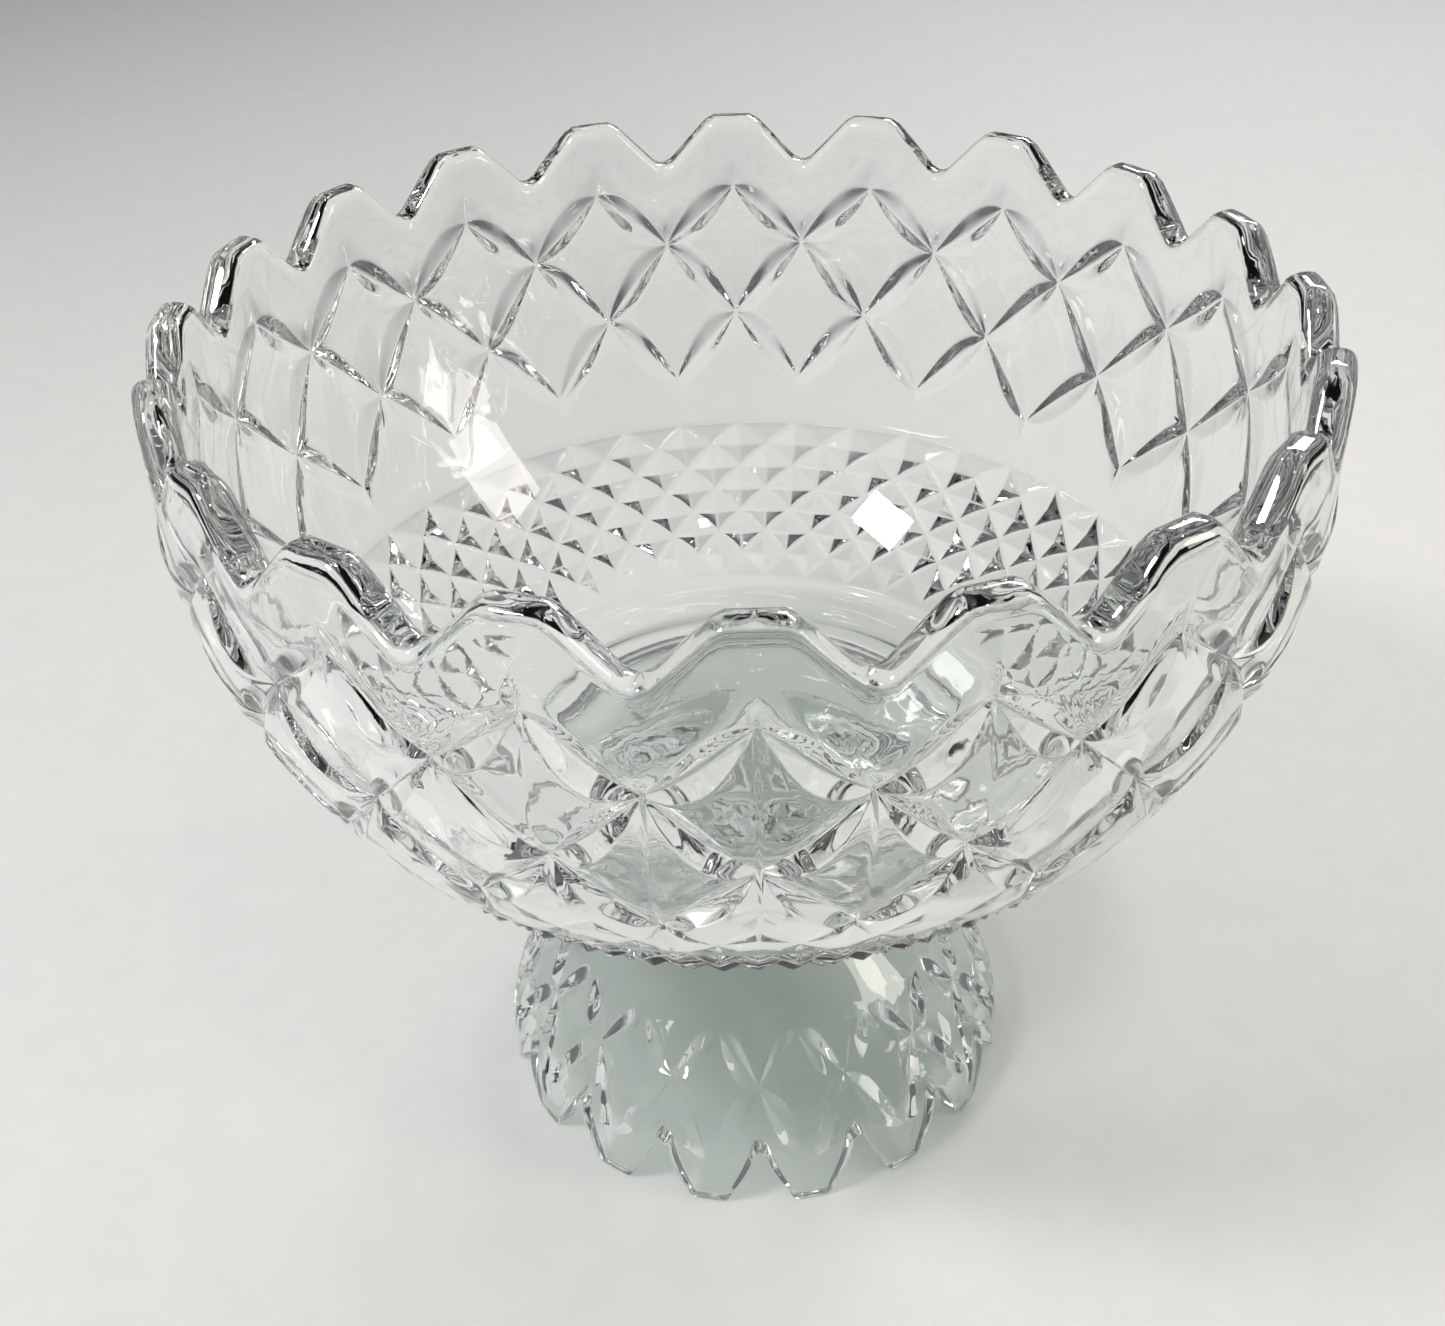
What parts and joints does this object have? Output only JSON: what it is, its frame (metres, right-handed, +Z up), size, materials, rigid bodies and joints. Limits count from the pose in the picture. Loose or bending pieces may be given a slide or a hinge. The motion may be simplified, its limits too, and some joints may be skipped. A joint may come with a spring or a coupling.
{
  "type": "punch bowl",
  "caption": "Pressed-glass punch bowl with a scalloped rim, diamond-cut walls and a belt of small points, on its own flared pedestal stand.",
  "frame": {"origin": "on the table, at the middle of the ring of teeth that the stand rests on", "axes": "+Z up along the axis of the bowl and the stand; -Y is the front, under a peak of the rim and over a gap between two teeth"},
  "size_m": [0.302, 0.302, 0.255],
  "materials": {
    "bowl_glass": "clear, fire-polished",
    "stand_glass": "clear, fire-polished"
  },
  "bodies": {
    "stand": {"stand": "stand_glass"},
    "bowl": {"bowl": "bowl_glass"}
  },
  "joints": [
    {"name": "bowl_lift", "type": "slide", "parent": "stand", "child": "bowl", "axis": [0, 0, 1], "range_m": [0, 0.15]}
  ]
}
